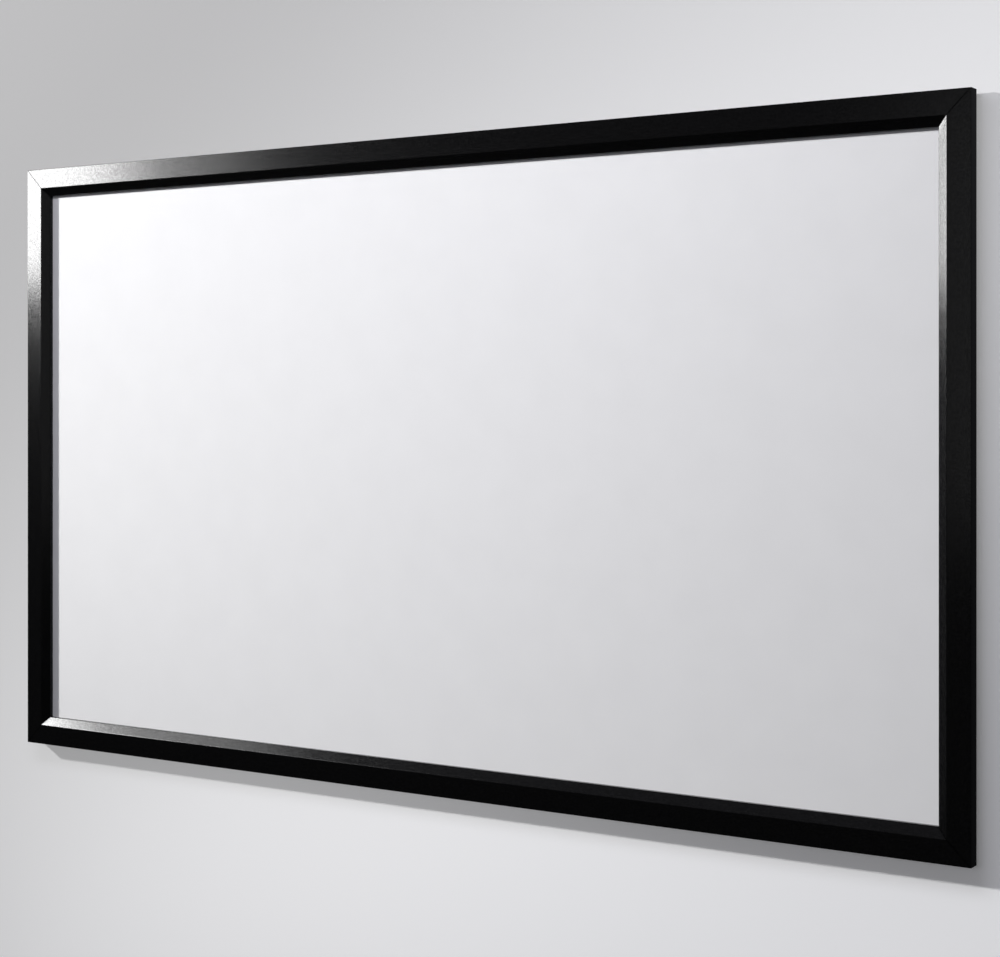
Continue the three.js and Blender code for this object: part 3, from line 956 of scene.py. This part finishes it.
class MakeSprings(ScreenOperator, bpy.types.Operator):
    """Makes the tension springs between the rods and the ridges of the rails"""

    bl_idname = "projector_screen.springs"
    bl_label = "Tension Springs"

    def execute(self, context):
        settings = context.scene.screen_tension
        steel = metal_finish("spring_plating", settings.steel, (0.18, 0.34), 6 * MM)
        rows = row_values(SPRINGS["top"], PITCH_ACROSS, SPRINGS["left"], PITCH_UP, steel)
        line = spring_line(settings)
        mesh = wire_rows("tension_springs", line, settings.wire_radius, settings.wire_sides, rows, 70)
        solids = [f"spring_{side}_{i + 1}" for side, count in SPRINGS.items() for i in range(count)]
        place_piece("tension_springs", mesh, None, solids)
        return {"FINISHED"}


class MakeElbows(ScreenOperator, bpy.types.Operator):
    """Makes the elbow plates that join the rails at their mitres"""

    bl_idname = "projector_screen.elbows"
    bl_label = "Elbow Plates"

    def execute(self, context):
        settings = context.scene.screen_hardware
        finish = metal_finish("elbow_zinc", settings.zinc, (0.3, 0.52), 14 * MM)
        near, far = ELBOW_INSETS
        end = ELBOW_LENGTH
        corner = ELBOW_CORNER
        outline = [(-near, near), (-end + corner, near), (-end, near + corner), (-end, far - corner)]
        outline += [(-end + corner, far), (-far, far), (-far, end - corner), (-far + corner, end)]
        outline += [(-near - corner, end), (-near, end - corner)]
        centres = [(-at, SCREW_INSET) for at in SCREW_PLACES] + [(-SCREW_INSET, at) for at in SCREW_PLACES]
        holes = [circle(x, y, settings.screw_radius + HOLE_ROOM, HOLE_SIDES) for x, y in centres]
        front, back = ELBOW_DEPTHS
        upright = Matrix.Translation((0, (front + back) / 2, 0)) @ Matrix.Rotation(-QUARTER_TURN, 4, "X")
        for name in CORNERS:
            bm = plate([outline, *holes], back - front, settings.edge, "elbow")
            turn = corner_matrix(name) @ upright
            place_turned("elbow_plate_" + name, bm, turn, finish, "elbow_" + name)
        return {"FINISHED"}


def screw_rings(settings):
    """Rings of a set screw down its depth: a cup point, a thread, a chamfer and a hexagon socket."""
    front, back = SCREW_DEPTHS
    outer = settings.screw_radius
    root = outer - THREAD_HEIGHT
    rings = [(front + depth, radius) for depth, radius in CUP]
    rings.append((front + POINT_LENGTH, root))
    depth = front + THREAD_START
    while depth + THREAD_PITCH < back - THREAD_END:
        rings += [(depth + THREAD_PITCH / 2, outer), (depth + THREAD_PITCH, root)]
        depth += THREAD_PITCH
    rings += [(back - SCREW_CHAMFER, outer), (back, outer - SCREW_CHAMFER)]
    points = [[(x, depth, z) for x, z in circle(0, 0, radius, SCREW_SIDES)] for depth, radius in rings]
    corners = circle(0, 0, settings.socket_radius, SCREW_SIDES)
    flats = circle(0, 0, settings.socket_radius * math.cos(math.pi / 6), SCREW_SIDES)
    hexagon = [flats[i] if i % 2 else corners[i] for i in range(SCREW_SIDES)]
    for depth, scale in SOCKET:
        points.append([(scale * x, back - depth, scale * z) for x, z in hexagon])
    return points


class MakeScrews(ScreenOperator, bpy.types.Operator):
    """Makes the set screws that clamp the elbow plates"""

    bl_idname = "projector_screen.screws"
    bl_label = "Set Screws"

    def execute(self, context):
        settings = context.scene.screen_hardware
        bm = skin(screw_rings(settings))
        bmesh.ops.translate(bm, verts=bm.verts, vec=(0, 0, -SCREW_INSET))
        finish = metal_finish("screw_black", settings.screw, (0.35, 0.55), 3 * MM, 0.9)
        first, second = SCREW_PLACES
        values = row_values(2, 2 * (HALF_WIDTH - first), 2, 2 * (HALF_HEIGHT - first), finish)
        values["Second Pitch Across"] = 2 * (HALF_WIDTH - second)
        values["Second Pitch Up"] = 2 * (HALF_HEIGHT - second)
        mesh = repeated("set_screws", mesh_of(bm, "set_screw"), screw_tree(), values)
        smooth(mesh, 30)
        solids = [f"set_screw_{corner}_{i + 1}" for corner in CORNERS for i in range(4)]
        place_piece("set_screws", mesh, None, solids)
        return {"FINISHED"}


def bend_starts(bend):
    """How far from the tongue's tip the two bends of a bracket start, along the middle of its sheet."""
    first = SHELF_INSET - bend - TONGUE_INSET
    return first, first + bend * QUARTER_TURN + PLATE_DEPTH - TONGUE_DEPTH - 2 * bend


def fold(distance, out, bend):
    """Where a point of the flat bracket goes when it is folded. distance runs from the tongue's tip along
    the middle of the sheet, out is the point's place in the thickness. Gives inset and depth."""
    first, second = bend_starts(bend)
    quarter = bend * QUARTER_TURN
    if distance < first:
        return TONGUE_INSET + distance, TONGUE_DEPTH + out
    if distance < first + quarter:
        at = (distance - first) / bend
        reach = bend - out
        return SHELF_INSET - bend + reach * math.sin(at), TONGUE_DEPTH + bend - reach * math.cos(at)
    if distance < second:
        return SHELF_INSET - out, TONGUE_DEPTH + bend + distance - first - quarter
    if distance < second + quarter:
        at = (distance - second) / bend
        reach = bend + out
        return SHELF_INSET + bend - reach * math.cos(at), PLATE_DEPTH - bend + reach * math.sin(at)
    return SHELF_INSET + bend + distance - second - quarter, PLATE_DEPTH + out


def rounded_box(left, right, low, high, radii):
    """Outline of a box with its four corners rounded, each by its own radius, from the low left one on."""
    corners = [(left, low, 1, 1), (right, low, -1, 1), (right, high, -1, -1), (left, high, 1, -1)]
    outline = []
    for turns, ((x, y, to_x, to_y), radius) in enumerate(zip(corners, radii), start=2):
        centre = (x + to_x * radius, y + to_y * radius)
        start = turns % 4 * QUARTER_TURN
        outline += circle(*centre, radius, CORNER_POINTS, start, QUARTER_TURN, closed=False)
    return outline


def slot_outline(x, y):
    outline = []
    for way in (1, -1):
        centre = (x + way * SLOT_TRAVEL / 2, y)
        start = -way * QUARTER_TURN
        outline += circle(*centre, SLOT_WIDTH / 2, SLOT_POINTS, start, math.pi, closed=False)
    return outline


def folded_bracket(settings):
    """A bracket cut flat with its slots, and folded. folded_away is what the folds take from an inset."""
    bend = settings.bend
    quarter = bend * QUARTER_TURN
    starts = bend_starts(bend)
    folded_away = SHELF_INSET + bend - starts[1] - quarter
    half = BRACKET_WIDTH / 2
    outlines = [rounded_box(-half, half, 0, PLATE_INSET - folded_away, BRACKET_CORNERS)]
    outlines += [slot_outline(way * SLOT_SPACING / 2, SLOT_INSET - folded_away) for way in (-1, 1)]
    bm = plate(outlines, BRACKET_THICKNESS, settings.edge, "bracket")
    for start in starts:
        for i in range(BEND_CUTS + 1):
            geometry = [*bm.verts, *bm.edges, *bm.faces]
            place = (0, start + quarter * i / BEND_CUTS, 0)
            bmesh.ops.bisect_plane(bm, geom=geometry, plane_co=place, plane_no=(0, 1, 0), dist=CUT_REACH)
    for vertex in bm.verts:
        inset, depth = fold(vertex.co.y, vertex.co.z, bend)
        vertex.co = (vertex.co.x, depth, -inset)
    bmesh.ops.recalc_face_normals(bm, faces=bm.faces)
    return bm


class MakeBrackets(ScreenOperator, bpy.types.Operator):
    """Makes the folded brackets that hold the frame off the wall"""

    bl_idname = "projector_screen.brackets"
    bl_label = "Wall Brackets"

    def execute(self, context):
        settings = context.scene.screen_hardware
        finish = metal_finish("bracket_zinc", settings.zinc, (0.3, 0.5), 12 * MM)
        for side in LEVEL:
            for end in ("left", "right"):
                name = f"{side}_{end}"
                low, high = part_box("wall_bracket_" + name)
                bm = folded_bracket(settings)
                along = (low.x + high.x) / 2 * (1 if side == "top" else -1)
                turn = side_matrix(side) @ Matrix.Translation((along, 0, 0))
                place_turned("bracket_" + name, bm, turn, finish, "wall_bracket_" + name)
        return {"FINISHED"}


# The stage


def backdrop(name, near, far, material, tree, tone, glow):
    """A plane between two edges across the room, each given by its Y and Z. It keeps the object's shadow, and
    isn't there for a camera behind it. Only the camera sees the glow added to its tone. On the wall the tone
    and the glow are painted shade and painted light; on the floor both are even."""
    pale = add(tree, "ShaderNodeBsdfDiffuse", {"Color": tone})
    seen = add(tree, "ShaderNodeLightPath", out="Is Camera Ray")
    added = add(tree, "ShaderNodeEmission", {"Strength": calculate(tree, "MULTIPLY", seen, glow)})
    pale = add(tree, "ShaderNodeAddShader", {0: pale, 1: added})
    clear = add(tree, "ShaderNodeBsdfTransparent")
    behind = add(tree, "ShaderNodeNewGeometry", out="Backfacing")
    whole = add(tree, "ShaderNodeMixShader", {0: behind, 1: pale, 2: clear})
    add(tree, "ShaderNodeOutputMaterial", {"Surface": whole})
    mesh = bpy.data.meshes.new(name)
    corners = [(-ROOM_SIDE, *near), (ROOM_SIDE, *near), (ROOM_SIDE, *far), (-ROOM_SIDE, *far)]
    mesh.from_pydata(corners, [], [(0, 1, 2, 3)])
    mesh.materials.append(material)
    plane = hold(mesh, name)
    plane.visible_shadow = False
    plane.visible_diffuse = False
    plane.visible_glossy = False


def place_lamp(name, kind, place, target, watts):
    light = bpy.data.lights.new(name, kind)
    light.energy = watts
    lamp = hold(light, name)
    lamp.location = place
    lamp.rotation_euler = (Vector(target) - Vector(place)).to_track_quat("-Z", "Y").to_euler()
    lamp.visible_camera = False
    return lamp


def room_light(settings):
    """Cool light from all round, dim from the floor and bright from the ceiling. The camera sees it pale."""
    world = bpy.data.worlds.new("room")
    tree = empty_tree(world)
    height = axis(tree, add(tree, "ShaderNodeTexCoord", out="Generated"), "Z")
    level = ramp(tree, height, *ROOM_RISE, settings.room_low, settings.room_high)
    light = add(tree, "ShaderNodeBackground", {"Color": rgba(settings.tint), "Strength": level})
    pale = add(tree, "ShaderNodeBackground", {"Color": rgba(settings.around)})
    seen = add(tree, "ShaderNodeLightPath", out="Is Camera Ray")
    both = add(tree, "ShaderNodeMixShader", {0: seen, 1: light, 2: pale})
    add(tree, "ShaderNodeOutputWorld", {"Surface": both})
    return world


class MakeStage(ScreenOperator, bpy.types.Operator):
    """Sets up the wall, the floor, the soft light and the camera"""

    bl_idname = "projector_screen.stage"
    bl_label = "Wall, Light and Camera"

    def execute(self, context):
        settings = context.scene.screen_stage
        self.make_room(settings)
        self.place_lamps(settings)
        context.scene.world = room_light(settings)
        camera = bpy.data.cameras.new("camera")
        camera.lens = settings.lens
        camera.shift_y = settings.shift
        camera.clip_end = CAMERA_REACH
        eye = hold(camera, "camera")
        eye.location = settings.camera
        eye.rotation_euler = (QUARTER_TURN, 0, settings.turn)
        context.scene.camera = eye
        context.scene.view_settings.view_transform = "Standard"
        return {"FINISHED"}

    def make_room(self, settings):
        """The wall, whose tone and glow, painted shade and painted light, turn from its upper left to its
        lower right, and the floor.
        """
        material, tree = new_material("wall_pale")
        place = object_place(tree)
        right = calculate(tree, "MULTIPLY", axis(tree, place, "X"), WALL_SLANT[0])
        slant = sum_of(tree, right, axis(tree, place, "Z"), WALL_SLANT[1])
        # Painted shade and painted light: the wall's tone turns from dark at the upper left to bright at the
        # lower right.
        bright = ramp(tree, slant, *WALL_PAINTED_SHADE_TURN)
        tone = blend(tree, bright, rgba(settings.wall_painted_shade_tone), rgba(settings.wall_painted_light_tone))
        # Painted light: a glow that only the camera sees, lifting the wall and the shadow on it.
        glow = ramp(tree, slant, *WALL_PAINTED_GLOW, settings.painted_glow_left, settings.painted_glow_right)
        foot = (WALL, ROOM_FLOOR)
        backdrop("wall", foot, (WALL, ROOM_TOP), material, tree, tone, glow)
        material, tree = new_material("floor_pale")
        near = (ROOM_NEAR, ROOM_FLOOR)
        backdrop("floor", near, foot, material, tree, rgba(settings.floor), settings.floor_glow)

    def place_lamps(self, settings):
        """The far light, and the panels that light, are reflected, or do both."""
        key = place_lamp("key", "SPOT", KEY_PLACE, KEY_TARGET, settings.key)
        key.data.spot_size = settings.cone
        key.data.spot_blend = 1.0
        key.data.shadow_soft_size = KEY_SIZE
        key.visible_glossy = False
        for name, use, place, target, size in PANELS:
            lamp = place_lamp(name, "AREA", place, target, getattr(settings, name))
            lamp.data.shape = "RECTANGLE"
            lamp.data.size, lamp.data.size_y = size
            lamp.visible_diffuse = use != "reflection"
            lamp.visible_glossy = use != "light"
            if use == "light":
                lamp.data.color = settings.tint


GROUPS = {
    "screen_coating": CoatingSettings,
    "screen_cloth": ClothSettings,
    "screen_tension": TensionSettings,
    "screen_hardware": HardwareSettings,
    "screen_stage": StageSettings,
}
OPERATORS = [
    MakeCoating, MakeCloth, MakeRods, MakeSprings, MakeElbows, MakeScrews, MakeBrackets, MakeStage,
]


class ScreenPanel(bpy.types.Panel):
    """Lists what makes the screen, and its settings"""

    bl_idname = "VIEW3D_PT_projector_screen"
    bl_label = "Projector Screen"
    bl_space_type = "VIEW_3D"
    bl_region_type = "UI"
    bl_category = "Projector Screen"

    def draw(self, context):
        for operator in OPERATORS:
            self.layout.operator(operator.bl_idname)
        for group, kind in GROUPS.items():
            box = self.layout.box()
            for setting in kind.__annotations__:
                box.prop(getattr(context.scene, group), setting)


CLASSES = [*GROUPS.values(), *OPERATORS, ScreenPanel]


def register():
    for kind in CLASSES:
        bpy.utils.register_class(kind)
    for name, kind in GROUPS.items():
        setattr(bpy.types.Scene, name, PointerProperty(type=kind))


def unregister():
    for name in GROUPS:
        delattr(bpy.types.Scene, name)
    for kind in reversed(CLASSES):
        bpy.utils.unregister_class(kind)


def main():
    register()
    bpy.ops.projector_screen.coating()
    bpy.ops.projector_screen.cloth()
    bpy.ops.projector_screen.rods()
    bpy.ops.projector_screen.springs()
    bpy.ops.projector_screen.elbows()
    bpy.ops.projector_screen.screws()
    bpy.ops.projector_screen.brackets()
    bpy.ops.projector_screen.stage()


if __name__ == "__main__":
    main()
